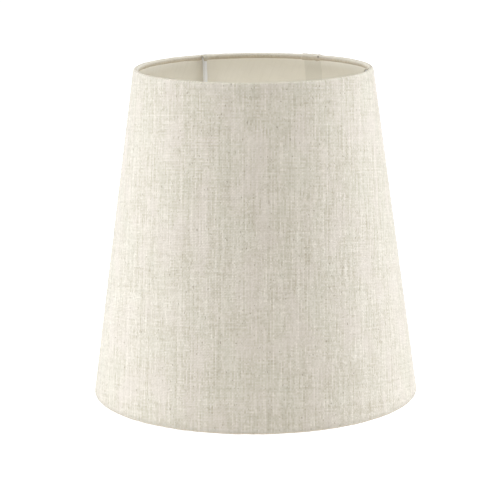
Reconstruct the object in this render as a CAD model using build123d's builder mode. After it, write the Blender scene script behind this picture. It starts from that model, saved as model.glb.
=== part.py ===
"""Tapered linen lamp shade on a wire frame, standing on its bottom hem.

Row frame: +Z is the axis of the shade, pointing up, and the origin is the middle of the plane
that the bottom hem stands on. Angles are degrees round +Z from +X. All sizes are millimetres.
"""

import os
from math import atan2, cos, degrees, hypot, radians, sin, sqrt, tan

from build123d import *

# The outside of the shade
TOP_DIAMETER = 182.0  # across the top hem
BOTTOM_DIAMETER = 250.0  # across the bottom hem
HEIGHT = 252.0  # over the hems, away from the thicker lap at the seam

# Sheet materials
LINEN = 0.5  # cloth
LINER = 0.3  # stiff plastic film that the cloth is laminated to
SEAM_TAPE = 0.15  # double-sided tape in the lap of the seam
RING_TAPE = 0.15  # double-sided tape rolled round each ring

# Rings and hems
RING_WIRE = 3.0  # diameter of the wire in both rings
HEM_WRAP = 290.0  # how far the cloth is rolled round a ring, from the outer face over the rim
HEM_GLUE = 0.05  # glue between the two layers of cloth that a hem has at the seam
HEM_BLEND = 3.5  # length of wall over which the lapped layers come down to the hem
LINER_GAP = 0.05  # between the edge of the film and the tape round a ring

# The lapped seam
SEAM_ANGLE = 54.0  # where the inner end of the panel is
SEAM_LAP = 15.0  # how far the outer end of the panel laps over the inner end
SEAM_RAMP = 4.5  # length over which the panel rises onto the lap, at the bottom hem
SEAM_TAPE_MARGIN = 1.5  # bare strip on each side of the tape

# The spider: three arms that drop from the top ring and carry the fitter ring
ARM_COUNT = 3
FIRST_ARM_ANGLE = 116.6
ARM_WIRE = 3.5  # diameter
ARM_LEAN = 3.0  # lean of the dropping leg towards the axis
ARM_BEND = 8.0  # radius of the bend, at the middle of the wire
ARM_LAP = 4.5  # how far an arm runs under the fitter ring
ARM_NOTCH_GAP = 0.3  # the hem is cut this far clear of an arm, all round
WELD_SINK = 0.3  # how deep a welded arm beds into what it is welded to
RECESS = 35.0  # from the top of the hem down to the top of the fitter ring

# The fitter ring, for a lamp holder with a 40 mm skirt
FITTER_BORE = 42.0
FITTER_WIDTH = 7.0  # of the flat ring, from the bore to the rim
FITTER_THICKNESS = 1.2
FITTER_EDGE = 0.25  # rounding of the stamped edges

# The plastic insert that takes the fitter ring down to a 28 mm skirt
REDUCER_BORE = 29.0
REDUCER_CLEARANCE = 0.3  # round the spigot, in the fitter ring
REDUCER_WALL = 1.2
REDUCER_LEDGE = 4.0  # how far the flange reaches over the fitter ring
REDUCER_DEPTH = 4.4  # from the top of the flange to the bottom of the spigot
REDUCER_RIBS = 6
REDUCER_EDGE = 0.3  # rounding of the flange

# The line of ring centres, which the wall is parallel to
TAPED_RADIUS = RING_WIRE / 2 + RING_TAPE
HEM_RADIUS = TAPED_RADIUS + LINEN
LAP_HEM_RADIUS = HEM_RADIUS + HEM_GLUE  # inner face of the second layer round a ring
LINER_SETBACK = sqrt(TAPED_RADIUS**2 - (TAPED_RADIUS - LINER) ** 2) + LINER_GAP  # from a ring's centre
TOP_RING_RADIUS = TOP_DIAMETER / 2 - HEM_RADIUS
BOTTOM_RING_RADIUS = BOTTOM_DIAMETER / 2 - HEM_RADIUS
BOTTOM_RING_HEIGHT = LAP_HEM_RADIUS + LINEN  # the shade stands on its lapped hem
TOP_RING_HEIGHT = BOTTOM_RING_HEIGHT + HEIGHT - 2 * HEM_RADIUS
TOP_HEM_HEIGHT = TOP_RING_HEIGHT + HEM_RADIUS
SLOPE = atan2(BOTTOM_RING_RADIUS - TOP_RING_RADIUS, TOP_RING_HEIGHT - BOTTOM_RING_HEIGHT)
WALL_RUN = hypot(BOTTOM_RING_RADIUS - TOP_RING_RADIUS, TOP_RING_HEIGHT - BOTTOM_RING_HEIGHT)

# Layers of the lap, measured outwards from the line of ring centres
LAP_TAPE_FACE = HEM_RADIUS
LAP_LINER_FACE = LAP_TAPE_FACE + SEAM_TAPE
LAP_LINEN_FACE = LAP_LINER_FACE + LINER

RAMP_ANGLE = degrees(SEAM_RAMP / BOTTOM_RING_RADIUS)
LAP_SWEEP = 2 * degrees(SEAM_LAP / TOP_RING_RADIUS)  # longer than the lap, then trimmed
FULL_TURN = 360.0

FITTER_TOP = TOP_HEM_HEIGHT - RECESS
FITTER_BOTTOM = FITTER_TOP - FITTER_THICKNESS
FITTER_RIM = FITTER_BORE / 2 + FITTER_WIDTH
ARM_HEIGHT = FITTER_BOTTOM - ARM_WIRE / 2 + WELD_SINK
ARM_TOP_RADIUS = TOP_RING_RADIUS - RING_WIRE / 2 - ARM_WIRE / 2 + WELD_SINK
ARM_CORNER_RADIUS = ARM_TOP_RADIUS - (TOP_RING_HEIGHT - ARM_HEIGHT) * tan(radians(ARM_LEAN))
ARM_TIP_RADIUS = FITTER_RIM - ARM_LAP


def radial_plane(angle):
    """The upright half plane at an angle round the axis: its x is the radius and its y the height."""
    turn = radians(angle)
    return Plane(origin=(0, 0, 0), x_dir=(cos(turn), sin(turn), 0), z_dir=(sin(turn), -cos(turn), 0))


def wall_point(out, along):
    """(radius, height) of a point, out from the line of ring centres and along it from the bottom."""
    radius = BOTTOM_RING_RADIUS - along * sin(SLOPE) + out * cos(SLOPE)
    height = BOTTOM_RING_HEIGHT + along * cos(SLOPE) + out * sin(SLOPE)
    return radius, height


def top_hem_point(radius, turn):
    """A point round the top ring, turned in degrees from the outer face over the rim."""
    return wall_point(radius * cos(radians(turn)), WALL_RUN + radius * sin(radians(turn)))


def bottom_hem_point(radius, turn):
    """A point round the bottom ring, turned in degrees from the outer face under the rim."""
    return wall_point(radius * cos(radians(turn)), -radius * sin(radians(turn)))


def straight_patch(near, far):
    """A four-sided patch between two stations of the wall, each given as (inner face, outer face, along)."""
    with BuildSketch(Plane.XY) as patch:
        with BuildLine():
            Polyline(
                wall_point(near[0], near[2]),
                wall_point(near[1], near[2]),
                wall_point(far[1], far[2]),
                wall_point(far[0], far[2]),
                close=True,
            )
        make_face()
    return patch.sketch


def hem_patch(point, face):
    """The rolled part of a hem round one ring, given that ring's point function and the inner face."""
    turns = (0, HEM_WRAP / 2, HEM_WRAP)
    back = face + LINEN
    with BuildSketch(Plane.XY) as patch:
        with BuildLine():
            ThreePointArc(*(point(face, turn) for turn in turns))
            Line(point(face, HEM_WRAP), point(back, HEM_WRAP))
            ThreePointArc(*(point(back, turn) for turn in reversed(turns)))
            Line(point(back, 0), point(face, 0))
        make_face()
    return patch.sketch


def cloth_patches(wall_face, hem_face):
    """The cloth's section in five patches from hem to hem, given the cloth's inner faces."""
    bottom = (hem_face, hem_face + LINEN, 0)
    low = (wall_face, wall_face + LINEN, HEM_BLEND)
    high = (wall_face, wall_face + LINEN, WALL_RUN - HEM_BLEND)
    top = (hem_face, hem_face + LINEN, WALL_RUN)
    walls = [straight_patch(bottom, low), straight_patch(low, high), straight_patch(high, top)]
    return [hem_patch(bottom_hem_point, hem_face)] + walls + [hem_patch(top_hem_point, hem_face)]


def strip_patches(face, thickness, setback):
    """The section of a straight layer of the wall, set back from both ring centres."""
    near = (face, face + thickness, setback)
    far = (face, face + thickness, WALL_RUN - setback)
    return [straight_patch(near, far)]


def placed_section(patches, angle):
    """A section made of patches, stood up at an angle round the axis."""
    with BuildSketch(radial_plane(angle)) as section:
        for patch in patches:
            add(patch)
    return section.sketch


def spin_patches(patches, sweep):
    """Revolves a section round the axis of the shade, from the angle of the seam."""
    revolve(placed_section(patches, SEAM_ANGLE), axis=Axis.Z, revolution_arc=sweep)


def ramp_patches(level, lapped):
    """Lofts a section onto the lap, patch by patch, over the ramp in front of the seam."""
    for start, end in zip(level, lapped):
        foot = placed_section([start], SEAM_ANGLE - RAMP_ANGLE)
        head = placed_section([end], SEAM_ANGLE)
        loft([foot, head], ruled=True)


def trim_lap(lap):
    """Keeps the part of the lap that is within a width of the inner end of the panel."""
    edge = radial_plane(SEAM_ANGLE).offset(-lap)
    split(bisect_by=edge, keep=Keep.TOP)


def cut_arm_notches():
    """Cuts the inner side of the top hem away where the arms meet the top ring."""
    height = 2 * HEM_RADIUS + 2 * ARM_NOTCH_GAP
    top = TOP_RING_HEIGHT + ARM_NOTCH_GAP
    depth = HEM_RADIUS + ARM_WIRE
    with Locations((0, 0, top - height / 2)):
        with PolarLocations(TOP_RING_RADIUS - depth / 2, ARM_COUNT, FIRST_ARM_ANGLE):
            Box(depth, ARM_WIRE + 2 * ARM_NOTCH_GAP, height, mode=Mode.SUBTRACT)


# Sections of the cloth and the film, along the wall and over the lap
CLOTH = cloth_patches(TAPED_RADIUS, TAPED_RADIUS)
CLOTH_LAP = cloth_patches(LAP_LINEN_FACE, LAP_HEM_RADIUS)
FILM = strip_patches(TAPED_RADIUS - LINER, LINER, LINER_SETBACK)
FILM_RAMP = strip_patches(TAPED_RADIUS - LINER, LINER, HEM_BLEND)
FILM_LAP = strip_patches(LAP_LINER_FACE, LINER, HEM_BLEND)
LAP_TAPE = strip_patches(LAP_TAPE_FACE, SEAM_TAPE, HEM_BLEND + SEAM_TAPE_MARGIN)

# Rings
with BuildPart() as top_ring:
    with BuildSketch(Plane.XZ):
        with Locations((TOP_RING_RADIUS, TOP_RING_HEIGHT)):
            Circle(RING_WIRE / 2)
    revolve(axis=Axis.Z)
top_ring.part.label = "top_ring"

with BuildPart() as bottom_ring:
    with BuildSketch(Plane.XZ):
        with Locations((BOTTOM_RING_RADIUS, BOTTOM_RING_HEIGHT)):
            Circle(RING_WIRE / 2)
    revolve(axis=Axis.Z)
bottom_ring.part.label = "bottom_ring"

# Tape rolled round the rings, which holds the rolled cloth
with BuildPart() as top_ring_tape:
    with BuildSketch(Plane.XZ):
        with Locations((TOP_RING_RADIUS, TOP_RING_HEIGHT)):
            Circle(TAPED_RADIUS)
            Circle(RING_WIRE / 2, mode=Mode.SUBTRACT)
    revolve(axis=Axis.Z)
    cut_arm_notches()
top_ring_tape.part.label = "top_ring_tape"

with BuildPart() as bottom_ring_tape:
    with BuildSketch(Plane.XZ):
        with Locations((BOTTOM_RING_RADIUS, BOTTOM_RING_HEIGHT)):
            Circle(TAPED_RADIUS)
            Circle(RING_WIRE / 2, mode=Mode.SUBTRACT)
    revolve(axis=Axis.Z)
bottom_ring_tape.part.label = "bottom_ring_tape"

# Cloth: once round from the inner end, up the ramp, and over the inner end
with BuildPart() as linen_lap:
    spin_patches(CLOTH_LAP, LAP_SWEEP)
    trim_lap(SEAM_LAP)

with BuildPart() as linen_cover:
    spin_patches(CLOTH, FULL_TURN - RAMP_ANGLE)
    ramp_patches(CLOTH, CLOTH_LAP)
    add(linen_lap.part)
    cut_arm_notches()
linen_cover.part.label = "linen_cover"

# Stiff film behind the cloth, lapped with it
with BuildPart() as liner_lap:
    spin_patches(FILM_LAP, LAP_SWEEP)
    trim_lap(SEAM_LAP)

with BuildPart() as liner_panel:
    spin_patches(FILM, FULL_TURN - RAMP_ANGLE)
    ramp_patches(FILM_RAMP, FILM_LAP)
    add(liner_lap.part)
liner_panel.part.label = "liner_panel"

# Tape in the lap, between the cloth of the inner end and the film of the outer end
with BuildPart() as seam_tape:
    spin_patches(LAP_TAPE, LAP_SWEEP)
    trim_lap(SEAM_LAP - SEAM_TAPE_MARGIN)
    split(bisect_by=radial_plane(SEAM_ANGLE).offset(-SEAM_TAPE_MARGIN), keep=Keep.BOTTOM)
seam_tape.part.label = "seam_tape"

# Fitter ring
with BuildPart() as fitter_ring:
    with BuildSketch(Plane.XY.offset(FITTER_BOTTOM)):
        Circle(FITTER_RIM)
        Circle(FITTER_BORE / 2, mode=Mode.SUBTRACT)
    extrude(amount=FITTER_THICKNESS)
    fillet(fitter_ring.edges().filter_by(GeomType.CIRCLE).group_by(SortBy.RADIUS)[-1], FITTER_EDGE)
fitter_ring.part.label = "fitter_ring"


def make_arm(number):
    """One bent arm, bedded into the top ring and under the fitter ring where it is welded."""
    with BuildPart() as arm:
        with BuildLine(radial_plane(FIRST_ARM_ANGLE + number * FULL_TURN / ARM_COUNT)) as path:
            FilletPolyline(
                (ARM_TOP_RADIUS, TOP_RING_HEIGHT),
                (ARM_CORNER_RADIUS, ARM_HEIGHT),
                (ARM_TIP_RADIUS, ARM_HEIGHT),
                radius=ARM_BEND,
            )
        with BuildSketch(Plane(origin=path.wire() @ 0, z_dir=path.wire() % 0)):
            Circle(ARM_WIRE / 2)
        sweep()
        add(top_ring.part, mode=Mode.SUBTRACT)
        add(fitter_ring.part, mode=Mode.SUBTRACT)
    arm.part.label = f"fitter_arm_{number + 1}"
    return arm.part


# Reducer insert: a flange on the fitter ring, a spigot in its bore, and a collar on ribs
SPIGOT_RADIUS = FITTER_BORE / 2 - REDUCER_CLEARANCE
COLLAR_RADIUS = REDUCER_BORE / 2 + REDUCER_WALL
FLANGE_RADIUS = FITTER_BORE / 2 + REDUCER_LEDGE
REDUCER_TOP = FITTER_TOP + REDUCER_WALL
REDUCER_BOTTOM = REDUCER_TOP - REDUCER_DEPTH
RIB_LENGTH = SPIGOT_RADIUS - REDUCER_WALL - COLLAR_RADIUS + REDUCER_WALL  # into both walls

with BuildPart() as reducer_insert:
    with BuildSketch(Plane.XY.offset(REDUCER_TOP)):
        Circle(FLANGE_RADIUS)
    extrude(amount=-REDUCER_WALL)
    with BuildSketch(Plane.XY.offset(REDUCER_BOTTOM)):
        Circle(SPIGOT_RADIUS)
        Circle(SPIGOT_RADIUS - REDUCER_WALL, mode=Mode.SUBTRACT)
        Circle(COLLAR_RADIUS)
        with PolarLocations((SPIGOT_RADIUS + COLLAR_RADIUS - REDUCER_WALL) / 2, REDUCER_RIBS):
            Rectangle(RIB_LENGTH, REDUCER_WALL)
    extrude(amount=REDUCER_DEPTH - REDUCER_WALL)
    with BuildSketch(Plane.XY.offset(REDUCER_BOTTOM)):
        Circle(REDUCER_BORE / 2)
    extrude(amount=REDUCER_DEPTH, mode=Mode.SUBTRACT)
    rim = reducer_insert.edges().filter_by(GeomType.CIRCLE).group_by(SortBy.RADIUS)[-1]
    fillet(rim.group_by(Axis.Z)[-1], REDUCER_EDGE)
reducer_insert.part.label = "reducer_insert"

pieces = [
    linen_cover.part,
    liner_panel.part,
    seam_tape.part,
    top_ring.part,
    bottom_ring.part,
    top_ring_tape.part,
    bottom_ring_tape.part,
    fitter_ring.part,
    reducer_insert.part,
]
pieces += [make_arm(number) for number in range(ARM_COUNT)]

os.makedirs("parts", exist_ok=True)
for piece in pieces:
    export_step(piece, f"parts/{piece.label}.step")
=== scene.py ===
"""Linen lamp shade on a wire frame: cloth, film, wire and a loose reducer insert.

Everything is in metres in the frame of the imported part: +Z is the axis of the shade, and angles
are degrees round it from +X. Lengths in the finishes are millimetres of flat cloth.
"""

import logging
import math
from abc import ABC, abstractmethod
from dataclasses import dataclass
from enum import Enum
from typing import Callable, Iterable, Sequence

import bpy
from mathutils import Matrix, Vector, noise

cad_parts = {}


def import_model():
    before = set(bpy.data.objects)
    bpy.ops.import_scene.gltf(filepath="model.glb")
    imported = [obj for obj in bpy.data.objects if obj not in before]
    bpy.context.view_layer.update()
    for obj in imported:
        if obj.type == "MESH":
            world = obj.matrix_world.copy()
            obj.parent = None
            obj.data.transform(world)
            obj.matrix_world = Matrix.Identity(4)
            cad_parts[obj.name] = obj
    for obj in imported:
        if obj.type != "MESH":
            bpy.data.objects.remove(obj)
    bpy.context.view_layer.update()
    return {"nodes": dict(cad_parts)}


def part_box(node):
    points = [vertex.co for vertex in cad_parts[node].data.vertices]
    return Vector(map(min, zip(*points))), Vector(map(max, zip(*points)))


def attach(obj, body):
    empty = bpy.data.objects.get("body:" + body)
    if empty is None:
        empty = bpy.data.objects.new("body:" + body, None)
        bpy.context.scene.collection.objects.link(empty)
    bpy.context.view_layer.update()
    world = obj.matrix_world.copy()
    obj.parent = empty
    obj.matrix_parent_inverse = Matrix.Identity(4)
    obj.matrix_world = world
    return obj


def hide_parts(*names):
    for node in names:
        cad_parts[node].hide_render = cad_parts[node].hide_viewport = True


MM = 0.001
FULL_TURN = 360.0
HALF_TURN = 180.0
SHARP_ANGLE = 50.0
SHADE_BODY = "shade"

Socket, Material, Mesh, Item = bpy.types.NodeSocket, bpy.types.Material, bpy.types.Mesh, bpy.types.Object
Colour = tuple[float, float, float]
WHITE: Colour = (1.0, 1.0, 1.0)

log = logging.getLogger("lamp_shade")


def smooth(value: float) -> float:
    """Eases a value from 0 to 1, held at both ends."""
    t = min(max(value, 0.0), 1.0)
    return t * t * (3.0 - 2.0 * t)


def bell(value: float, width: float) -> float:
    """A bump of height 1 that is about two widths across."""
    return math.exp(-((value / width) ** 2))


def wrapped(angle: float) -> float:
    """An angle brought to within half a turn of nought."""
    return (angle + HALF_TURN) % FULL_TURN - HALF_TURN


def outward(azimuth: float) -> Vector:
    """The level direction away from the axis at an azimuth."""
    around = math.radians(azimuth)
    return Vector((math.cos(around), math.sin(around), 0))


def aside(azimuth: float) -> Vector:
    """The level direction round the axis at an azimuth."""
    around = math.radians(azimuth)
    return Vector((-math.sin(around), math.cos(around), 0))


def up(height: float) -> Vector:
    """A step straight up."""
    return Vector((0, 0, height))


def spot_at(azimuth: float, radius: float, height: float) -> Vector:
    """The point at an azimuth, a distance from the axis and a height."""
    around = math.radians(azimuth)
    return Vector((radius * math.cos(around), radius * math.sin(around), height))


class Zone(Enum):
    """The stretch of a panel that a point belongs to."""

    BOTTOM_HEM = "bottom hem"
    WALL = "wall"
    TOP_HEM = "top hem"


@dataclass(frozen=True)
class Station:
    """A place along the panel from the end of the bottom hem to the end of the top hem.

    Attributes:
        zone: the stretch that it is in.
        value: the turn round the ring in degrees in a hem, or the run from the bottom ring in the wall.
    """

    zone: Zone
    value: float


@dataclass(frozen=True)
class Column:
    """A place round the panel.

    Attributes:
        travel: degrees from the inner end of the panel, up to a full turn.
        lap: share of the lap that lies beyond the full turn.
    """

    travel: float
    lap: float = 0.0


@dataclass(frozen=True)
class RingSeat:
    """The centre line of a wire ring."""

    radius: float
    height: float

    @staticmethod
    def of(node: str, wire: float) -> "RingSeat":
        """Reads a ring's centre line from its node and the diameter of its wire."""
        low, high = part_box(node)
        return RingSeat(high[0] - wire / 2, (low[2] + high[2]) / 2)


@dataclass(frozen=True)
class WallFrame:
    """The line between the ring centres, which the wall and the hems are laid out from."""

    bottom: RingSeat
    top: RingSeat

    @property
    def slope(self) -> float:
        """Lean of the wall from upright, in radians."""
        return math.atan2(self.bottom.radius - self.top.radius, self.top.height - self.bottom.height)

    @property
    def run(self) -> float:
        """Length of the line between the ring centres."""
        return math.hypot(self.bottom.radius - self.top.radius, self.top.height - self.bottom.height)

    def point(self, out: float, along: float) -> tuple[float, float]:
        """A point beside the line.

        Args:
            out: distance outwards from the line.
            along: distance up the line from the bottom ring.

        Returns:
            Its radius and height.
        """
        radius = self.bottom.radius - along * math.sin(self.slope) + out * math.cos(self.slope)
        height = self.bottom.height + along * math.cos(self.slope) + out * math.sin(self.slope)
        return radius, height

    def hem_point(self, zone: Zone, reach: float, turn: float) -> tuple[float, float]:
        """A point round a ring.

        Args:
            zone: which hem.
            reach: distance from the middle of the wire.
            turn: degrees from the outer face over the rim.

        Returns:
            Its radius and height.
        """
        out = reach * math.cos(math.radians(turn))
        past = reach * math.sin(math.radians(turn))
        return self.point(out, self.run + past if zone is Zone.TOP_HEM else -past)


@dataclass(frozen=True)
class SeamPlan:
    """Where the two ends of the panel lap.

    Attributes:
        angle: where the inner end is.
        lap: how far the outer end laps over it.
        ramp: degrees over which the panel climbs onto the lap.
    """

    angle: float = 54.0
    lap: float = 15.0 * MM
    ramp: float = 2.1

    def azimuth(self, column: Column, radius: float) -> float:
        """Degrees round the axis of a column, at a radius, counted on past a full turn."""
        if column.lap <= 0:
            return self.angle + column.travel
        return self.angle + FULL_TURN + column.lap * math.degrees(math.asin(self.lap / radius))

    def rise(self, column: Column) -> float:
        """How far a column has climbed onto the lap, from 0 to 1."""
        return smooth((column.travel - FULL_TURN + self.ramp) / self.ramp)

    def doubled(self, spot: Vector) -> float:
        """1 where the wall is two panels thick, easing to 0 over a millimetre at each side."""
        azimuth = math.degrees(math.atan2(spot.y, spot.x))
        beyond = math.radians(wrapped(azimuth - self.angle)) * math.hypot(spot.x, spot.y)
        return smooth(beyond / MM + 0.5) * smooth((self.lap - beyond) / MM + 0.5)


@dataclass(frozen=True)
class ArmPlan:
    """The three arms that carry the fitter ring."""

    count: int = 3
    first: float = 116.6
    notch: float = 2.05 * MM  # half the width of the cut in the hem
    wire: float = 3.5 * MM
    ring_wire: float = 3.0 * MM

    def angles(self) -> list[float]:
        """Degrees round the axis of each arm."""
        return [self.first + number * FULL_TURN / self.count for number in range(self.count)]

    def beside(self, azimuth: float, radius: float) -> float:
        """Distance round the ring from the nearest arm."""
        gaps = [abs(wrapped(azimuth - angle)) for angle in self.angles()]
        return math.radians(min(gaps)) * radius


@dataclass(frozen=True)
class Ripple:
    """The small unevenness that a panel and its hems are made with."""

    wall: float = 0.18 * MM
    wall_length: float = 34.0 * MM
    wall_fade: float = 0.02  # distance from a ring over which the wall's unevenness grows
    pucker: float = 0.2 * MM
    pucker_length: float = 5.0 * MM
    coarse_ratio: float = 3.2
    coarse_share: float = 0.7
    fine_share: float = 0.8
    slant: float = 75.0  # degrees round the wire in which a pucker strays by its own length
    hem_fade: float = 50.0  # degrees round the wire over which the puckers grow
    seed: float = 4.0
    top_seed: float = 9.0

    def of_wall(self, spot: Vector, edge: float) -> float:
        """How far the wall stands out at a spot that is a given distance from the nearer ring."""
        shift = Vector((self.seed, 0, 0))
        return self.wall * noise.noise(spot / self.wall_length + shift) * smooth(edge / self.wall_fade)

    def of_hem(self, zone: Zone, azimuth: float, turn: float, radius: float) -> float:
        """How far a rolled hem stands out from its wire.

        Args:
            zone: which hem.
            azimuth: degrees round the axis.
            turn: degrees round the wire.
            radius: the ring's radius.

        Returns:
            The distance, at most a third of a millimetre.
        """
        ring = outward(azimuth) * radius
        shift = up(self.seed + (self.top_seed if zone is Zone.TOP_HEM else 0.0))
        coarse = noise.noise(ring / (self.coarse_ratio * self.pucker_length) + shift)
        fine = noise.noise(ring / self.pucker_length + shift * 2 + up(turn / self.slant))
        mixed = self.coarse_share * coarse + self.fine_share * fine
        return self.pucker * mixed * smooth(turn / self.hem_fade)


def lay_flat(mesh: Mesh, flats: Sequence[tuple[float, float]]) -> None:
    """Stores the place of each vertex in the flat cut as a UV map."""
    layer = mesh.uv_layers.new(name="cut")
    for item in mesh.loops:
        layer.data[item.index].uv = flats[item.vertex_index]


def shell_mesh(
    name: str,
    stations: Sequence[Station],
    columns: Sequence[Column],
    place: Callable[[Station, Column, float], Vector],
    kept: Callable[[Station, Station, Column, Column], bool],
    cut: Callable[[Station, Column], tuple[float, float]],
    notes: dict[str, Callable[[Station, Vector], float]],
) -> Mesh:
    """Builds a closed thin sheet from two faces and the strips that join their edges.

    Args:
        name: the mesh's name.
        stations: places across the sheet.
        columns: places along it.
        place: position of a station and column on the inner face (-1) or the outer face (1).
        kept: whether the cell between two stations and two columns is there.
        cut: position of a station and column in the flat cut.
        notes: numbers that a finish reads, by name, from a station and its position.

    Returns:
        The mesh, with its flat cut as a UV map.
    """
    rows, spans = len(stations), len(columns)
    points: list[Vector] = []
    flats: list[tuple[float, float]] = []
    noted: dict[str, list[float]] = {label: [] for label in notes}
    index: dict[tuple[int, int, int], int] = {}

    def corner(side: int, span: int, row: int) -> int:
        """The vertex of a grid corner, made when it is first used."""
        key = (side, span, row)
        if key not in index:
            index[key] = len(points)
            points.append(place(stations[row], columns[span], side))
            flats.append(cut(stations[row], columns[span]))
            for label, note in notes.items():
                noted[label].append(note(stations[row], points[-1]))
        return index[key]

    held = [
        [kept(stations[r], stations[r + 1], columns[s], columns[s + 1]) for r in range(rows - 1)]
        for s in range(spans - 1)
    ]

    def open_beside(span: int, row: int) -> bool:
        """Whether a cell is missing."""
        inside = 0 <= span < spans - 1 and 0 <= row < rows - 1
        return not (inside and held[span][row])

    faces: list[tuple[int, ...]] = []
    for s in range(spans - 1):
        for r in range(rows - 1):
            if open_beside(s, r):
                continue
            loop = [(s, r), (s + 1, r), (s + 1, r + 1), (s, r + 1)]
            faces.append(tuple(corner(1, a, b) for a, b in loop))
            faces.append(tuple(corner(-1, a, b) for a, b in reversed(loop)))
            beside = [(s, r - 1), (s + 1, r), (s, r + 1), (s - 1, r)]
            for number, (a, b) in enumerate(beside):
                if open_beside(a, b):
                    near, far = loop[number], loop[(number + 1) % len(loop)]
                    rim = ((1, far), (1, near), (-1, near), (-1, far))
                    faces.append(tuple(corner(side, *spot) for side, spot in rim))
    mesh = bpy.data.meshes.new(name)
    mesh.from_pydata(points, [], faces)
    lay_flat(mesh, flats)
    mesh.validate()
    mesh.shade_smooth()
    mesh.set_sharp_from_angle(angle=math.radians(SHARP_ANGLE))
    for label, values in noted.items():
        tag(mesh, label, values)
    return mesh


def grid_faces(rows: int, spans: int, base: int = 0, closed: bool = False) -> list[tuple[int, ...]]:
    """One face for each cell of a grid of vertices, numbered from a base; a closed row is a ring."""
    faces: list[tuple[int, ...]] = []
    for row in range(rows - 1):
        for step in range(spans if closed else spans - 1):
            a = base + row * spans + step
            b = base + row * spans + (step + 1) % spans
            faces.append((a, b, b + spans, a + spans))
    return faces


def add_object(name: str, data: bpy.types.ID) -> Item:
    """Puts a mesh, a light or a camera in the scene.

    Args:
        name: the object's name.
        data: what it shows.

    Returns:
        The object.
    """
    item = bpy.data.objects.new(name, data)
    bpy.context.scene.collection.objects.link(item)
    return item


def tag(mesh: Mesh, name: str, values: Iterable[float]) -> None:
    """Stores one number per vertex, under a name, for a finish to read."""
    mesh.attributes.new(name, "FLOAT", "POINT").data.foreach_set("value", list(values))


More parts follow.
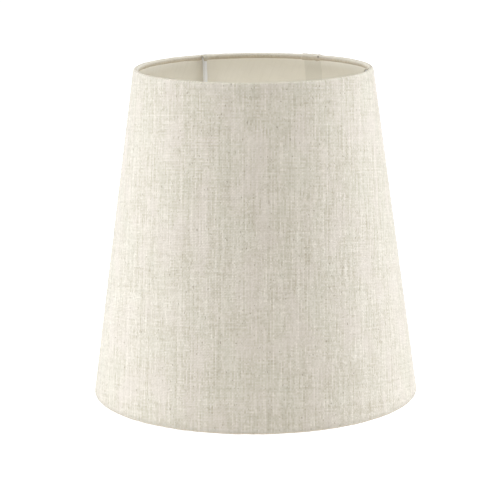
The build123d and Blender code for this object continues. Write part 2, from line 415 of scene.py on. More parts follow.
class Sketch:
    """Shorthand for laying out one material's nodes."""

    def __init__(self, name: str) -> None:
        """Starts a material with one Principled shader.

        Args:
            name: the material's name.
        """
        self.material = bpy.data.materials.new(name)
        self.material.use_nodes = True
        self.tree = self.material.node_tree
        self.shader = self.tree.nodes["Principled BSDF"]

    def node(self, kind: str, **settings: object) -> bpy.types.Node:
        """Adds a node and sets its properties.

        Args:
            kind: the node's type name, without its ShaderNode prefix.
            settings: its properties.

        Returns:
            The node.
        """
        made = self.tree.nodes.new("ShaderNode" + kind)
        for key, value in settings.items():
            setattr(made, key, value)
        return made

    def feed(self, socket: Socket, value: object) -> None:
        """Links an output into a socket, or sets the socket to a plain value."""
        if isinstance(value, Socket):
            self.tree.links.new(value, socket)
        else:
            socket.default_value = value

    def math(self, operation: str, *values: object) -> Socket:
        """A Math node.

        Args:
            operation: its operation.
            values: its inputs, in order.

        Returns:
            Its output.
        """
        made = self.node("Math", operation=operation)
        for socket, value in zip(made.inputs, values):
            self.feed(socket, value)
        return made.outputs[0]

    def vector(self, x: object, y: object, z: object = 0.0) -> Socket:
        """Three numbers as one vector."""
        made = self.node("CombineXYZ")
        for socket, value in zip(made.inputs, (x, y, z)):
            self.feed(socket, value)
        return made.outputs[0]

    def noise(self, vector: object, scale: float, detail: float = 2.0) -> Socket:
        """Smooth noise around a half.

        Args:
            vector: where it is read.
            scale: how fine it is.
            detail: how many finer layers it has.

        Returns:
            Its value.
        """
        made = self.node("TexNoise", noise_dimensions="3D")
        self.feed(made.inputs["Vector"], vector)
        made.inputs["Scale"].default_value = scale
        made.inputs["Detail"].default_value = detail
        return made.outputs["Fac"]

    def swing(self, value: object, reach: float) -> Socket:
        """A value around a half as a value around nought, scaled."""
        return self.math("MULTIPLY", self.math("SUBTRACT", value, 0.5), reach)

    def streaks(
        self,
        across: object,
        along: object,
        size: tuple[float, float],
        seed: float = 0.0,
        detail: float = 2.0,
    ) -> Socket:
        """Smooth noise drawn out to a size across and along the warp."""
        spot = self.vector(self.math("DIVIDE", across, size[0]), self.math("DIVIDE", along, size[1]), seed)
        return self.noise(spot, 1.0, detail)

    def band(self, value: object, low: float, high: float, start: float, end: float) -> Socket:
        """Maps a range of values smoothly onto another, held at both ends."""
        made = self.node("MapRange", interpolation_type="SMOOTHSTEP")
        for socket, item in zip(made.inputs, (value, low, high, start, end)):
            self.feed(socket, item)
        return made.outputs[0]

    def blend(self, share: object, first: object, second: object) -> Socket:
        """Mixes two colours.

        Args:
            share: how much of the second.
            first: the first colour, as an output or as red, green and blue.
            second: the second colour.

        Returns:
            The mixed colour.
        """
        made = self.node("Mix", data_type="RGBA", blend_type="MIX")
        self.feed(made.inputs["Factor"], share)
        for socket, value in ((made.inputs[6], first), (made.inputs[7], second)):
            self.feed(socket, value if isinstance(value, Socket) else (*value, 1.0))
        return made.outputs[2]

    def flat_cut(self) -> tuple[Socket, Socket]:
        """Position in the flat cut in millimetres: across, then along the warp."""
        layer = self.node("UVMap", uv_map="cut")
        parts = self.node("SeparateXYZ")
        self.feed(parts.inputs[0], layer.outputs[0])
        return self.math("DIVIDE", parts.outputs[0], MM), self.math("DIVIDE", parts.outputs[1], MM)

    def solid_mm(self) -> Socket:
        """Position in the object in millimetres."""
        spot = self.node("TexCoord").outputs["Object"]
        scaled = self.node("VectorMath", operation="SCALE")
        self.feed(scaled.inputs[0], spot)
        scaled.inputs["Scale"].default_value = 1 / MM
        return scaled.outputs[0]

    def attribute(self, name: str) -> Socket:
        """A number stored on the mesh."""
        return self.node("Attribute", attribute_name=name).outputs["Fac"]

    def relief(self, height: object, strength: float, depth: float) -> None:
        """Feeds a height through a Bump node into the shader's normal.

        Args:
            height: the height, from 0 to 1.
            strength: how strongly it shades.
            depth: how deep it is, in metres.
        """
        made = self.node("Bump")
        made.inputs["Strength"].default_value = strength
        made.inputs["Distance"].default_value = depth
        self.feed(made.inputs["Height"], height)
        self.feed(self.shader.inputs["Normal"], made.outputs[0])

    def surface(self, colour: object, roughness: object, **sockets: float) -> Material:
        """Sets the shader's colour, roughness and plain numbers.

        Args:
            colour: the base colour.
            roughness: the roughness.
            sockets: other inputs, named with underscores for spaces.

        Returns:
            The material.
        """
        self.feed(self.shader.inputs["Base Color"], colour)
        self.feed(self.shader.inputs["Roughness"], roughness)
        for key, value in sockets.items():
            title = key.replace("_", " ").title().replace("Ior", "IOR")
            self.shader.inputs[title].default_value = value
        return self.material


class Finish(ABC):
    """The look of one kind of surface."""

    @abstractmethod
    def material(self) -> Material:
        """Lays out the material."""


@dataclass(frozen=True)
class LinenFinish(Finish):
    """Plain woven natural linen with uneven threads, in millimetres of flat cloth."""

    warp_pitch: float = 1.12
    weft_pitch: float = 1.2
    warp_run: float = 19.0  # length over which a thread changes tone
    weft_run: float = 12.0
    knot_run: float = 2.4
    own_swing: float = 0.27  # how far the tone of a thread is from its neighbours'
    slub_swing: float = 1.22
    knot_swing: float = 0.95
    stray: float = 1.6  # how far a thread strays to each side
    stray_side: float = 9.0
    stray_length: float = 26.0
    under: float = 0.45  # share of the warp in the tone where it passes under
    over: float = 0.4  # and how much more where it passes over
    # painted shade: how far the gaps between threads darken towards the dark tone
    gap_shade: float = 0.45
    patch_scale: float = 0.045
    patch_stretch: float = 0.6
    rose_share: float = 0.45
    green_share: float = 0.2
    fleck_size: tuple[float, float] = (1.4, 3.0)
    fleck_share: float = 0.75
    # strength of the painted highlight on the inner shoulder of the top hem
    hem_highlight_share: float = 0.9
    crown: float = 0.55  # how much of a thread's height comes from passing over
    pale: Colour = (0.668, 0.588, 0.464)
    dark: Colour = (0.354, 0.295, 0.199)
    rose: Colour = (0.562, 0.474, 0.378)
    green: Colour = (0.508, 0.464, 0.345)
    # colour of the painted shade under the rolled hems, on the tongues and along the lines near the rings
    fold: Colour = (0.335, 0.286, 0.208)
    fleck: Colour = (0.230, 0.185, 0.130)

    def material(self) -> Material:
        """Lays out the cloth's material."""
        s = Sketch("linen")
        across, along = s.flat_cut()
        wander = s.streaks(across, along, (self.stray_side, self.stray_length))
        across = s.math("ADD", across, s.swing(wander, self.stray))
        drift = s.streaks(across, along, (self.stray_length, self.stray_side), 3.0)
        along = s.math("ADD", along, s.swing(drift, self.stray))
        warp = self._thread(s, across, along, self.warp_pitch, self.warp_run, 1.7)
        weft = self._thread(s, along, across, self.weft_pitch, self.weft_run, 8.3)
        over = s.math("PINGPONG", s.math("ADD", warp["number"], weft["number"]), 1.0)
        upper = s.math("ADD", s.math("MULTIPLY", over, self.over), self.under)
        lower = s.math("SUBTRACT", 1.0, upper)
        tone = s.math(
            "ADD", s.math("MULTIPLY", warp["tone"], upper), s.math("MULTIPLY", weft["tone"], lower)
        )
        colour = s.blend(s.math("ADD", tone, 0.5), self.dark, self.pale)
        # Painted shade in the gaps between threads.
        beside = s.band(warp["dome"], 0.75, 0.0, 0.0, 1.0)
        gap_shade = s.math("MULTIPLY", beside, s.band(weft["dome"], 0.9, 0.0, 0.3, 1.0))
        colour = s.blend(s.math("MULTIPLY", gap_shade, self.gap_shade), colour, self.dark)
        spot = s.vector(across, s.math("MULTIPLY", along, self.patch_stretch))
        patch = s.noise(spot, self.patch_scale, 3.0)
        colour = s.blend(s.band(patch, 0.47, 0.66, 0.0, self.rose_share), colour, self.rose)
        colour = s.blend(s.band(patch, 0.51, 0.34, 0.0, self.green_share), colour, self.green)
        flecks = s.streaks(across, along, self.fleck_size, 11.0, 1.0)
        colour = s.blend(s.band(flecks, 0.67, 0.77, 0.0, self.fleck_share), colour, self.fleck)
        # Painted shade: the undersides of the rolled hems, the tongues and the lines near the rings darken
        # towards the fold colour.
        colour = s.blend(s.attribute("hem_shade"), colour, self.fold)
        # Painted highlight: the inner shoulder of the top hem lightens towards the pale tone.
        colour = s.blend(s.math("MULTIPLY", s.attribute("edge"), self.hem_highlight_share), colour, self.pale)
        crown = s.math("MULTIPLY", over, self.crown)
        high = s.math(
            "MAXIMUM",
            s.math("MULTIPLY", warp["dome"], s.math("ADD", crown, 1.0 - self.crown)),
            s.math("MULTIPLY", weft["dome"], s.math("SUBTRACT", 1.0, crown)),
        )
        s.relief(high, 0.5, 0.25 * MM)
        rough = s.band(tone, -0.4, 0.4, 0.95, 0.8)
        return s.surface(colour, rough, specular_ior_level=0.25, sheen_weight=0.12, sheen_roughness=0.5)

    def _thread(
        self, s: Sketch, side: object, length: object, pitch: float, run: float, seed: float
    ) -> dict[str, Socket]:
        """One set of parallel threads.

        Args:
            s: the sketch.
            side: position across the threads.
            length: position along them.
            pitch: distance between threads.
            run: length over which a thread changes tone.
            seed: keeps this set's noise apart.

        Returns:
            Each thread's number, its tone around nought and its rounded height.
        """
        turn = s.math("DIVIDE", side, pitch)
        number = s.math("FLOOR", turn)
        middle = s.math("SUBTRACT", s.math("FRACT", turn), 0.5)
        dome = s.math("SUBTRACT", 1.0, s.math("MULTIPLY", s.math("MULTIPLY", middle, middle), 4.0))
        tone = s.swing(self._own(s, number, seed), self.own_swing)
        for apart, reach, detail, swing in (
            (3.37, run, 3.0, self.slub_swing),
            (5.71, self.knot_run, 1.0, self.knot_swing),
        ):
            spot = s.vector(s.math("MULTIPLY", number, apart), s.math("DIVIDE", length, reach), seed)
            tone = s.math("ADD", tone, s.swing(s.noise(spot, 1.0, detail), swing))
        return {"number": number, "tone": tone, "dome": dome}

    def _own(self, s: Sketch, number: object, seed: float) -> Socket:
        """A number from 0 to 1 that each thread keeps along its whole length."""
        made = s.node("TexWhiteNoise", noise_dimensions="2D")
        s.feed(made.inputs["Vector"], s.vector(number, seed))
        return made.outputs["Value"]


@dataclass(frozen=True)
class FilmFinish(Finish):
    """Satin film behind the cloth, with the weave showing faintly through it."""

    thread: float = 2.2  # how broad a thread shows, in millimetres
    run: float = 30.0
    base: Colour = (0.735, 0.700, 0.615)
    threads: Colour = (0.680, 0.645, 0.560)
    doubled: Colour = (0.650, 0.620, 0.540)
    doubled_threads: Colour = (0.62, 0.59, 0.51)

    def material(self) -> Material:
        """Lays out the film's material."""
        s = Sketch("liner_film")
        across, along = s.flat_cut()
        warp = s.streaks(across, along, (self.thread, self.run))
        weft = s.streaks(across, along, (self.run, self.thread), 4.0)
        show = s.math("MAXIMUM", s.band(warp, 0.45, 0.75, 0.0, 0.5), s.band(weft, 0.5, 0.8, 0.0, 0.35))
        colour = s.blend(show, self.base, self.threads)
        glue = s.noise(s.vector(across, along, 2.0), 0.05, 3.0)
        colour = s.blend(s.band(glue, 0.4, 0.7, 0.0, 0.25), colour, self.threads)
        doubled = s.blend(show, self.doubled, self.doubled_threads)
        colour = s.blend(s.attribute("doubled"), colour, doubled)
        high = s.math("ADD", s.math("MULTIPLY", warp, 0.4), s.math("MULTIPLY", glue, 0.6))
        s.relief(high, 0.12, 0.2 * MM)
        return s.surface(colour, s.band(glue, 0.3, 0.7, 0.42, 0.56), specular_ior_level=0.4)


@dataclass(frozen=True)
class PowderCoat(Finish):
    """White powder coating on wire and sheet steel."""

    base: Colour = (0.86, 0.86, 0.87)
    dull: Colour = (0.78, 0.78, 0.77)
    speck: Colour = (0.45, 0.43, 0.40)

    def material(self) -> Material:
        """Lays out the coating's material."""
        s = Sketch("white_powder_coat")
        spot = s.solid_mm()
        peel = s.noise(spot, 1.3)
        haze = s.noise(spot, 0.12, 3.0)
        specks = s.noise(spot, 2.7, 1.0)
        colour = s.blend(s.band(haze, 0.45, 0.75, 0.0, 0.6), self.base, self.dull)
        colour = s.blend(s.band(specks, 0.74, 0.80, 0.0, 0.5), colour, self.speck)
        s.relief(peel, 0.25, 0.08 * MM)
        return s.surface(colour, s.band(haze, 0.3, 0.7, 0.30, 0.45), coat_weight=0.15)


@dataclass(frozen=True)
class TapeFinish(Finish):
    """Cream double-sided tape, pulled a little uneven."""

    base: Colour = (0.72, 0.68, 0.58)
    grimy: Colour = (0.60, 0.55, 0.45)

    def material(self) -> Material:
        """Lays out the tape's material."""
        s = Sketch("tape")
        spot = s.solid_mm()
        crease = s.noise(spot, 0.8, 4.0)
        grime = s.noise(spot, 0.2)
        colour = s.blend(s.band(grime, 0.4, 0.7, 0.0, 0.4), self.base, self.grimy)
        s.relief(crease, 0.3, 0.1 * MM)
        return s.surface(colour, s.band(crease, 0.3, 0.7, 0.55, 0.75))


@dataclass(frozen=True)
class MouldedPlastic(Finish):
    """White moulded plastic with a fine spark-eroded grain."""

    base: Colour = (0.86, 0.86, 0.84)
    flowed: Colour = (0.80, 0.79, 0.75)

    def material(self) -> Material:
        """Lays out the plastic's material."""
        s = Sketch("white_plastic")
        spot = s.solid_mm()
        grain = s.noise(spot, 3.0)
        flow = s.noise(spot, 0.09)
        colour = s.blend(s.band(flow, 0.35, 0.65, 0.0, 0.3), self.base, self.flowed)
        s.relief(grain, 0.2, 0.05 * MM)
        return s.surface(colour, s.band(grain, 0.3, 0.7, 0.36, 0.5))


@dataclass
class LinenCover:
    """The cloth: one panel round the shade, lapped at the seam and rolled over both rings."""

    wall: WallFrame
    seam: SeamPlan
    arms: ArmPlan
    ripple: Ripple
    thickness: float = 0.5 * MM
    face: float = 1.65 * MM  # inner face of the cloth, out from the line of ring centres
    lapped_face: float = 2.6 * MM
    lapped_hem: float = 2.2 * MM  # inner face of the second layer round a ring
    wrap: float = 290.0
    blend: float = 3.5 * MM
    grain: float = 265.0  # where the warp runs straight up the wall
    column_step: float = 0.7
    column_clear: float = 0.3  # no other column comes nearer to the edge of a notch
    ramp_steps: int = 6
    wall_steps: int = 24
    hem_steps: int = 16
    near: tuple[float, ...] = (0.0, 0.25, 0.5, 0.75, 1.0, 1.5)  # in blends from a ring
    laps: tuple[float, ...] = (0.03, 0.15, 0.3, 0.45, 0.6, 0.75, 0.9, 0.985, 1.0)
    end_share: float = 0.35  # thickness left at the raw ends of the panel
    notch_turn: float = 88.0  # turn round the top ring at which the notches start
    # (degrees round the axis, breadth, depth in millimetres) of each fold pinched into the top hem
    tucks: tuple[tuple[float, float, float], ...] = (
        (55.6, 0.5, -0.45),
        (57.6, 0.7, 0.35),
        (59.2, 0.45, -0.3),
    )
    tuck_fade: float = 40.0
    # where the painted highlight on the top hem's inner shoulder lies and how far it spreads, in degrees
    # round the wire
    hem_highlight_turn: float = 130.0
    hem_highlight_spread: float = 34.0
    # (depth of painted shade under each rolled hem, turn where it starts, degrees over which it comes in)
    bottom_hem_shade: tuple[float, float, float] = (0.52, -15.0, 40.0)
    top_hem_shade: tuple[float, float, float] = (0.85, 168.0, 45.0)
    # (depth of tone, distance from the ring, breadth) of the darker lines on the wall near each ring:
    # painted shade at the foot of the wall, and a faint darker line below the top hem
    foot_line: tuple[float, float, float] = (0.3, 0.0, 1.2 * MM)
    head_line: tuple[float, float, float] = (0.1, 3.5 * MM, 1.8 * MM)

    def stations(self) -> list[Station]:
        """Places from the end of the bottom hem up to the end of the top hem."""
        turns = [self.wrap * step / self.hem_steps for step in range(self.hem_steps + 1)]
        near = [share * self.blend for share in self.near]
        clear = self.wall.run - 2 * near[-1]
        middle = [near[-1] + clear * step / self.wall_steps for step in range(1, self.wall_steps)]
        runs = near + middle + [self.wall.run - value for value in reversed(near)]
        stations = [Station(Zone.BOTTOM_HEM, turn) for turn in reversed(turns[1:])]
        stations += [Station(Zone.WALL, run) for run in runs]
        return stations + [Station(Zone.TOP_HEM, turn) for turn in turns[1:]]

    def columns(self) -> list[Column]:
        """Places round the panel from its inner end to its outer end."""
        level = FULL_TURN - self.seam.ramp
        count = round(level / self.column_step)
        travels = {round(level * step / count, 5) for step in range(count + 1)}
        notch = math.degrees(self.arms.notch / self.wall.top.radius)
        for angle in self.arms.angles():
            middle = (angle - self.seam.angle) % FULL_TURN
            edges = (middle - notch, middle + notch)
            travels = {t for t in travels if all(abs(t - edge) > self.column_clear for edge in edges)}
            travels |= set(edges)
        steps = range(1, self.ramp_steps + 1)
        travels |= {level + self.seam.ramp * step / self.ramp_steps for step in steps}
        return [Column(t) for t in sorted(travels)] + [Column(FULL_TURN, lap) for lap in self.laps]

    def layer(self, station: Station, rise: float) -> float:
        """How far the middle of the cloth is from the wire's centre or the line of ring centres."""
        half = self.thickness / 2
        in_hem = self.face + (self.lapped_hem - self.face) * rise + half
        in_wall = self.face + (self.lapped_face - self.face) * rise + half
        if station.zone is not Zone.WALL:
            return in_hem
        edge = min(station.value, self.wall.run - station.value)
        return in_hem + (in_wall - in_hem) * smooth(edge / self.blend)

    def tuck(self, station: Station, azimuth: float) -> float:
        """Folds pinched into the top hem where the ends of the panel meet."""
        if station.zone is not Zone.TOP_HEM:
            return 0.0
        around = azimuth % FULL_TURN + (station.value - HALF_TURN / 2) / self.ripple.slant
        fold = sum(depth * bell(around - angle, width) for angle, width, depth in self.tucks)
        return fold * MM * smooth(station.value / self.tuck_fade)

    def place(self, station: Station, column: Column, side: float) -> Vector:
        """Position on the inner face (-1) or outer face (1) of the cloth."""
        last = self.end_share if column.lap == 1.0 or column.travel == 0.0 else 1.0
        out = self.layer(station, self.seam.rise(column)) + side * last * self.thickness / 2
        if station.zone is Zone.WALL:
            radius, height = self.wall.point(out, station.value)
        else:
            radius, height = self.wall.hem_point(station.zone, out, station.value)
        azimuth = self.seam.azimuth(column, radius)
        if station.zone is Zone.WALL:
            edge = min(station.value, self.wall.run - station.value)
            radius += self.ripple.of_wall(spot_at(azimuth, radius, height), edge)
        else:
            ring = self.wall.top if station.zone is Zone.TOP_HEM else self.wall.bottom
            push = self.ripple.of_hem(station.zone, azimuth, station.value, ring.radius)
            push += self.tuck(station, azimuth)
            radius, height = self.wall.hem_point(station.zone, out + push, station.value)
        return spot_at(azimuth, radius, height)

    def kept(self, near: Station, far: Station, first: Column, second: Column) -> bool:
        """Whether a cell of the cloth is there: the inner side of the top hem is cut round each arm."""
        if near.zone is Zone.BOTTOM_HEM or far.zone is not Zone.TOP_HEM or second.lap > 0:
            return True
        if near.zone is Zone.WALL or near.value < self.notch_turn:
            return True
        azimuth = self.seam.angle + (first.travel + second.travel) / 2
        return self.arms.beside(azimuth, self.wall.top.radius) > self.arms.notch

    def cut(self, station: Station, column: Column) -> tuple[float, float]:
        """Position in the flat cut of the panel, a sector of a ring."""
        lean = math.sin(self.wall.slope)
        slant = self.wall.bottom.radius / lean
        hem = math.radians(station.value) * (self.face + self.thickness / 2)
        if station.zone is Zone.WALL:
            slant -= station.value
        elif station.zone is Zone.TOP_HEM:
            slant -= self.wall.run + hem
        else:
            slant += hem
        azimuth = self.seam.azimuth(column, slant * lean)
        turn = math.radians(azimuth - self.grain) * lean
        return slant * math.sin(turn), -slant * math.cos(turn)

    def flat_size(self) -> tuple[float, float, float]:
        """Width, length and area of the flat cut."""
        corners = [self.cut(s, c) for s in self.stations() for c in self.columns()]
        width = max(x for x, _ in corners) - min(x for x, _ in corners)
        length = max(y for _, y in corners) - min(y for _, y in corners)
        hem = math.radians(self.wrap) * (self.face + self.thickness / 2)
        lean = math.sin(self.wall.slope)
        inner = self.wall.top.radius / lean - hem
        outer = self.wall.bottom.radius / lean + hem
        lap = self.seam.lap * (self.wall.run + 2 * hem)
        return width, length, math.pi * lean * (outer**2 - inner**2) + lap

    def hem_highlight(self, station: Station) -> float:
        """1 on the inner shoulder of the top hem, falling off to each side: a painted highlight that
        lightens the cloth there.
        """
        if station.zone is not Zone.TOP_HEM:
            return 0.0
        return bell(station.value - self.hem_highlight_turn, self.hem_highlight_spread)

    def hem_shade(self, station: Station) -> float:
        """How deep the painted shade is under the rolled hems and along the foot of the wall, with a faint
        darker line below the top hem.
        """
        if station.zone is not Zone.WALL:
            depth, start, span = self.top_hem_shade if station.zone is Zone.TOP_HEM else self.bottom_hem_shade
            return depth * smooth((station.value - start) / span)
        lines = ((station.value, self.foot_line), (self.wall.run - station.value, self.head_line))
        return sum(depth * bell(edge - place, breadth) for edge, (depth, place, breadth) in lines)

    def build(self) -> Item:
        """Returns:
            The cover.
        """
        notes = {
            # edge holds the painted highlight on the top hem's inner shoulder; the second note holds the
            # painted shade under the hems.
            "edge": lambda station, _: self.hem_highlight(station),
            "hem_shade": lambda station, _: self.hem_shade(station),
        }
        mesh = shell_mesh(
            "linen_cloth", self.stations(), self.columns(), self.place, self.kept, self.cut, notes
        )
        cover = add_object("linen_cloth", mesh)
        cover.data.materials.append(LinenFinish().material())
        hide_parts("linen_cover")
        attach(cover, SHADE_BODY)
        return cover


@dataclass
class LinerFilm:
    """The stiff film that the cloth is laminated to."""

    wall: WallFrame
    cover: LinenCover
    thickness: float = 0.3 * MM
    setback: float = 1.0 * MM
    lapped_setback: float = 3.5 * MM
    ramp: float = 0.06  # degrees over which the film slips behind its other end
    slip: float = 0.02  # degrees left open between the two
    steps: int = 26

    def rise(self, column: Column) -> float:
        """How far the film has climbed onto the lap, from 0 to 1."""
        return smooth((column.travel - FULL_TURN + self.slip + self.ramp) / self.ramp)

    def place(self, station: Station, column: Column, side: float) -> Vector:
        """Position on the inner face (-1) or outer face (1) of the film."""
        rise = self.rise(column)
        middle = self.cover.face - self.thickness / 2
        middle += (self.cover.lapped_face - self.cover.face) * rise
        setback = self.setback + (self.lapped_setback - self.setback) * smooth(rise * 4)
        along = min(max(station.value, setback), self.wall.run - setback)
        radius, height = self.wall.point(middle + side * self.thickness / 2, along)
        azimuth = self.cover.seam.azimuth(column, radius)
        edge = min(along, self.wall.run - along)
        radius += self.cover.ripple.of_wall(spot_at(azimuth, radius, height), edge)
        return spot_at(azimuth, radius, height)

    def columns(self) -> list[Column]:
        """Places round the film, closer together where the second thickness starts and stops."""
        columns = self.cover.columns()
        lap = math.degrees(self.cover.seam.lap / self.wall.top.radius)
        fine = {0.25 * step for step in range(1, round(4 * (lap + 1)))}
        fine |= {FULL_TURN - self.slip - self.ramp * step / 4 for step in range(5)}
        return sorted(set(columns) | {Column(t) for t in fine}, key=lambda c: (c.travel, c.lap))

    def build(self) -> Item:
        """Builds the film.

        Returns:
            The film.
        """
        ends = (self.setback, self.wall.run - self.setback)
        runs = [ends[0] + (ends[1] - ends[0]) * step / self.steps for step in range(self.steps + 1)]
        mesh = shell_mesh(
            "liner_film",
            [Station(Zone.WALL, run) for run in runs],
            self.columns(),
            self.place,
            lambda near, far, first, second: True,
            self.cover.cut,
            {"doubled": lambda _, spot: self.cover.seam.doubled(spot)},
        )
        film = add_object("liner_film", mesh)
        film.data.materials.append(FilmFinish().material())
        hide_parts("liner_panel")
        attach(film, SHADE_BODY)
        return film


@dataclass
class HemTab:
    """The tongue of cloth that is left over the end of an arm where the hem is slit."""

    ring: RingSeat
    angle: float
    number: int
    width: float = 3.7 * MM
    thickness: float = 0.4 * MM
    # (inwards from the middle of the ring, up from it, share of the width), in millimetres
    path: tuple[tuple[float, float, float], ...] = (
        (-0.4, 1.85, 1.0),
        (0.5, 1.95, 1.0),
        (1.6, 1.8, 1.02),
        (2.7, 1.4, 1.04),
        (3.7, 1.0, 1.0),
        (4.6, 0.5, 0.95),
        (5.1, -0.5, 0.88),
        (5.25, -1.6, 0.78),
        (5.3, -2.3, 0.6),
    )
    across_steps: int = 6
    sag: float = 0.55  # how far the sides hang below the middle, in millimetres
    sag_start: float = 0.3
    draw: float = 0.35  # share of the sag by which the sides draw back
    rough: float = 0.1 * MM
    rough_length: float = 2.5 * MM
    cut_apart: float = 0.01  # distance between tongues in the flat cut
    # painted shade on the tongue, deepening row by row towards its end under the roll
    tone: float = 0.02
    shade_step: float = 0.03

    def build(self, finish: Material) -> Item:
        """Builds the tongue.

        Args:
            finish: the cloth's material.

        Returns:
            The tongue.
        """
        name = f"hem_tab_{self.number}"
        inward, beside = -outward(self.angle), aside(self.angle)
        centre = spot_at(self.angle, self.ring.radius, self.ring.height)
        points, flats, shades = [], [], []
        last = len(self.path) - 1
        for row, (deep, high, share) in enumerate(self.path):
            for step in range(self.across_steps + 1):
                offset = step / self.across_steps * 2 - 1
                sag = self.sag * offset**4 * (self.sag_start + (1 - self.sag_start) * row / last)
                spot = centre + inward * (deep - self.draw * sag) * MM + up((high - sag) * MM)
                spot += beside * offset * share * self.width / 2
                spot += up(self.rough * noise.noise(spot / self.rough_length))
                points.append(spot)
                flats.append((self.number * self.cut_apart + offset * self.width / 2, row * MM))
                shades.append(self.tone + self.shade_step * row)
        faces = grid_faces(len(self.path), self.across_steps + 1)
        mesh = bpy.data.meshes.new(name)
        mesh.from_pydata(points, [], [tuple(reversed(face)) for face in faces])
        lay_flat(mesh, flats)
        mesh.shade_smooth()
        # the tongue gets no painted highlight, and painted shade that deepens towards its end
        tag(mesh, "edge", [0.0] * len(points))
        tag(mesh, "hem_shade", shades)
        tab = add_object(name, mesh)
        tab.data.materials.append(finish)
        thick = tab.modifiers.new("thickness", "SOLIDIFY")
        thick.thickness = self.thickness
        thick.offset = 0.0
        round_off = tab.modifiers.new("round", "SUBSURF")
        round_off.levels = round_off.render_levels = 1
        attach(tab, SHADE_BODY)
        return tab


@dataclass
class ThreadEnds:
    """Loose ends of dark weft at the lap of the top hem."""

    ring: RingSeat
    angle: float = 53.3
    spacing: float = 0.45
    gauge: float = 0.22 * MM
    count: int = 3
    spread: float = 0.5
    dark: Colour = (0.16, 0.12, 0.08)
    light: Colour = (0.30, 0.24, 0.17)

    def build(self) -> Item:
        """Builds the thread ends as thin tubes.

        Returns:
            The threads.
        """
        curve = bpy.data.curves.new("thread_ends", "CURVE")
        curve.dimensions = "3D"
        curve.bevel_depth = self.gauge
        curve.bevel_resolution = 2
        curve.use_fill_caps = True
        for number in range(self.count):
            angle = self.angle + self.spacing * number
            start = spot_at(angle, self.ring.radius, self.ring.height)
            spline = curve.splines.new("NURBS")
            # (inwards from the middle of the ring, up from it, to one side), in millimetres
            steps = (
                (1.55, 1.6, 0.0),
                (2.1, 1.5, 0.3),
                (2.6, 0.8, 0.5 - number * self.spread),
                (2.75, 0.1, 0.8 - 2 * number * self.spread),
            )
            spline.points.add(len(steps) - 1)
            for point, (deep, high, off) in zip(spline.points, steps):
                spot = start - outward(angle) * deep * MM + aside(angle) * off * MM + up(high * MM)
                point.co = (*spot, 1.0)
            spline.order_u = 3
            spline.use_endpoint_u = True
        shape = bpy.data.objects.new("thread_ends_line", curve)
        mesh = bpy.data.meshes.new_from_object(shape)
        mesh.name = "thread_ends"
        bpy.data.objects.remove(shape)
        threads = add_object("thread_ends", mesh)
        s = Sketch("dark_thread")
        twist = s.noise(s.solid_mm(), 4.0)
        colour = s.blend(twist, self.dark, self.light)
        s.relief(twist, 0.4, 0.05 * MM)
        mesh.materials.clear()
        mesh.materials.append(s.surface(colour, s.band(twist, 0.3, 0.7, 0.8, 0.95)))
        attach(threads, SHADE_BODY)
        return threads


@dataclass
class Frame:
    """The welded wire frame: rings, arms and fitter ring, with their weld beads."""

    arms: ArmPlan
    bead: float = 0.825 * MM
    bead_length: float = 3.6 * MM
    bead_steps: int = 10
    bead_sides: int = 10
    bead_taper: float = 0.06  # share of a half wave left out at each end
    bead_height: float = 0.55
    set_in: float = 0.4 * MM
    set_down: float = 0.45 * MM
    set_aside: float = 0.46  # of the arm's wire
    lump: float = 0.25
    lump_length: float = 0.9 * MM

    def dress(self, nodes: dict[str, Item]) -> None:
        """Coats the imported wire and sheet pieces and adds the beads.

        Args:
            nodes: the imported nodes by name.
        """
        coat = PowderCoat().material()
        names = ["top_ring", "bottom_ring", "fitter_ring"]
        names += [f"fitter_arm_{number + 1}" for number in range(self.arms.count)]
        for name in names:
            paint(nodes[name], coat)
        for number, angle in enumerate(self.arms.angles(), 1):
            self.weld(angle, number, coat)

    def weld(self, angle: float, number: int, coat: Material) -> None:
        """Two beads along an arm where it runs under the fitter ring, as one piece.

        Args:
            angle: the arm's angle round the axis.
            number: the arm's number.
            coat: the coating.
        """
        name = f"arm_weld_{number}"
        low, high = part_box("fitter_ring")
        rim, sides, span = high[0], self.bead_sides, 1 - 2 * self.bead_taper
        points, faces = [], []
        for hand in (-1, 1):
            base = len(points)
            for step in range(self.bead_steps + 1):
                share = step / self.bead_steps
                size = self.bead * math.sin(math.pi * (self.bead_taper + span * share)) ** 0.5
                middle = outward(angle) * (rim - self.set_in - self.bead_length * (1 - share))
                middle += aside(angle) * hand * self.arms.wire * self.set_aside + up(low[2] - self.set_down)
                for spoke in range(sides):
                    turn = math.tau * spoke / sides
                    way = aside(angle) * math.cos(turn) + up(math.sin(turn) * self.bead_height)
                    shift = Vector((number, hand, 0))
                    lump = noise.noise((middle + way * size) / self.lump_length + shift)
                    points.append(middle + way * size * (1.0 + self.lump * lump))
            faces += grid_faces(self.bead_steps + 1, sides, base, closed=True)
            faces.append(tuple(base + spoke for spoke in reversed(range(sides))))
            last = base + self.bead_steps * sides
            faces.append(tuple(last + spoke for spoke in range(sides)))
        mesh = bpy.data.meshes.new(name)
        mesh.from_pydata(points, [], faces)
        mesh.shade_smooth()
        bead = add_object(name, mesh)
        bead.data.materials.append(coat)
        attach(bead, SHADE_BODY)


def paint(item: Item, finish: Material) -> None:
    """Gives every part of an object one material.

    Args:
        item: the object.
        finish: the material.
    """
    if not item.material_slots:
        item.data.materials.append(finish)
    for place in item.material_slots:
        place.material = finish


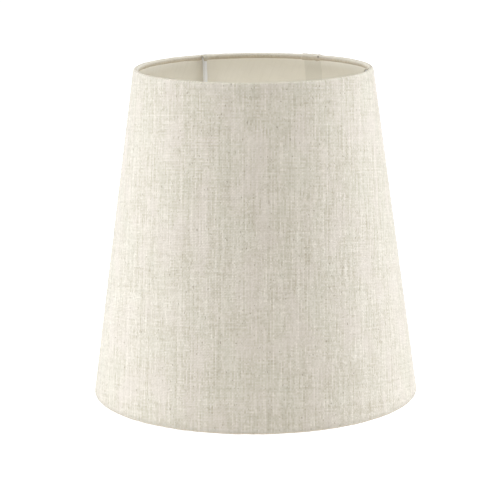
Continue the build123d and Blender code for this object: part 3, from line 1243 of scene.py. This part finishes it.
@dataclass(frozen=True)
class Softbox:
    """A large soft light that faces the shade."""

    name: str
    azimuth: float  # where it stands: 0 in front, 90 to the right, seen from the camera
    elevation: float
    power: float
    width: float
    height: float
    colour: Colour
    aim: float = 0.13
    distance: float = 2.4

    def build(self) -> None:
        """Puts the light in the scene."""
        turn, lift = math.radians(self.azimuth), math.radians(self.elevation)
        reach = math.cos(lift)
        way = Vector((math.sin(turn) * reach, -math.cos(turn) * reach, math.sin(lift)))
        lamp = bpy.data.lights.new(self.name, "AREA")
        lamp.shape = "RECTANGLE"
        lamp.size, lamp.size_y = self.width, self.height
        lamp.energy = self.power
        lamp.color = self.colour
        item = add_object(self.name, lamp)
        item.location = way * self.distance + up(self.aim)
        item.rotation_euler = (-way).to_track_quat("-Z", "Y").to_euler()


@dataclass(frozen=True)
class InnerFill:
    """A soft ball of light in the shade, for the light that comes in through the cloth."""

    power: float = 0.21
    height: float = 0.15
    radius: float = 0.045
    colour: Colour = WHITE

    def build(self) -> None:
        """Puts the light in the scene."""
        lamp = bpy.data.lights.new("inner_fill", "POINT")
        lamp.energy = self.power
        lamp.shadow_soft_size = self.radius
        lamp.color = self.colour
        item = add_object("inner_fill", lamp)
        item.location = (0.0, 0.0, self.height)
        item.visible_camera = False


@dataclass(frozen=True)
class Studio:
    """Pale floor, soft lights and the camera."""

    sky: Colour = WHITE
    sky_strength: float = 0.10
    floor_glow: float = 0.94
    floor_colour: Colour = (0.4, 0.4, 0.4)
    floor_size: float = 14.0
    boxes: tuple[Softbox, ...] = (
        Softbox("left_softbox", -69.5, 0.0, 81.0, 1.3, 0.38, (0.71, 0.81, 1.0), aim=0.2),
        Softbox("right_softbox", 77.0, 0.0, 76.5, 1.3, 0.38, (0.71, 0.81, 1.0), aim=0.2),
        Softbox("top_softbox", 180.0, 80.0, 86.0, 1.6, 1.6, (0.85, 0.92, 1.0)),
    )
    fill: InnerFill = InnerFill()
    camera_distance: float = 1.648
    camera_height: float = 0.4638
    camera_down: float = 12.0799  # degrees below level
    camera_turn: float = 0.1233
    camera_roll: float = -0.4501
    lens: float = 157.65
    sensor: float = 36.0

    def build(self) -> None:
        """Builds the whole studio."""
        self._floor()
        self._sky()
        for box in self.boxes:
            box.build()
        self.fill.build()
        self._camera()

    def _floor(self) -> None:
        """A wide pale floor that the shade stands on."""
        half = self.floor_size / 2
        corners = [(-half, -half, 0), (half, -half, 0), (half, half, 0), (-half, half, 0)]
        mesh = bpy.data.meshes.new("floor")
        mesh.from_pydata(corners, [], [(0, 1, 2, 3)])
        floor = add_object("floor", mesh)
        s = Sketch("pale_floor")
        colour = (*self.floor_colour, 1.0)
        pale = s.surface(colour, 0.9, specular_ior_level=0.1, emission_strength=self.floor_glow)
        s.shader.inputs["Emission Color"].default_value = (*WHITE, 1.0)
        mesh.materials.append(pale)

    def _sky(self) -> None:
        """An even white surround."""
        world = bpy.data.worlds.new("surround")
        world.use_nodes = True
        back = world.node_tree.nodes["Background"]
        back.inputs["Color"].default_value = (*self.sky, 1.0)
        back.inputs["Strength"].default_value = self.sky_strength
        bpy.context.scene.world = world

    def _camera(self) -> None:
        """The camera, a little above the rim and looking slightly down."""
        lens = bpy.data.cameras.new("camera")
        lens.lens = self.lens
        lens.sensor_width = self.sensor
        camera = add_object("camera", lens)
        turn = Matrix.Rotation(math.radians(self.camera_turn), 4, "Z")
        tilt = Matrix.Rotation(math.radians(90.0 - self.camera_down), 4, "X")
        roll = Matrix.Rotation(math.radians(self.camera_roll), 4, "Z")
        stand = Matrix.Translation((0.0, -self.camera_distance, self.camera_height))
        camera.matrix_world = stand @ turn @ tilt @ roll
        scene = bpy.context.scene
        scene.camera = camera
        scene.view_settings.view_transform = "Standard"


def main() -> None:
    """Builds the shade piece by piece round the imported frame, then the studio."""
    logging.basicConfig(level=logging.INFO, format="%(name)s: %(message)s")
    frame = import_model()
    nodes = frame["nodes"]

    arms, seam, ripple = ArmPlan(), SeamPlan(), Ripple()
    wall = WallFrame(*(RingSeat.of(node, arms.ring_wire) for node in ("bottom_ring", "top_ring")))
    panel = LinenCover(wall, seam, arms, ripple)
    cover = panel.build()
    log.info("cloth: %d faces", len(cover.data.polygons))
    film = LinerFilm(wall, panel).build()
    log.info("film: %d faces", len(film.data.polygons))

    cloth = cover.data.materials[0]
    trims = [HemTab(wall.top, angle, k + 1).build(cloth) for k, angle in enumerate(arms.angles())]
    trims.append(ThreadEnds(wall.top).build())
    width, length, area = panel.flat_size()
    log.info("cloth cut flat: %.0f by %.0f mm, %.4f square metres", width / MM, length / MM, area)

    tape = TapeFinish().material()
    for name in ("seam_tape", "top_ring_tape", "bottom_ring_tape"):
        paint(nodes[name], tape)
    log.info("tape: dressed")
    Frame(arms).dress(nodes)
    log.info("wire frame: dressed and welded")
    paint(nodes["reducer_insert"], MouldedPlastic().material())
    log.info("reducer insert: dressed")

    Studio().build()


if __name__ == "__main__":
    main()
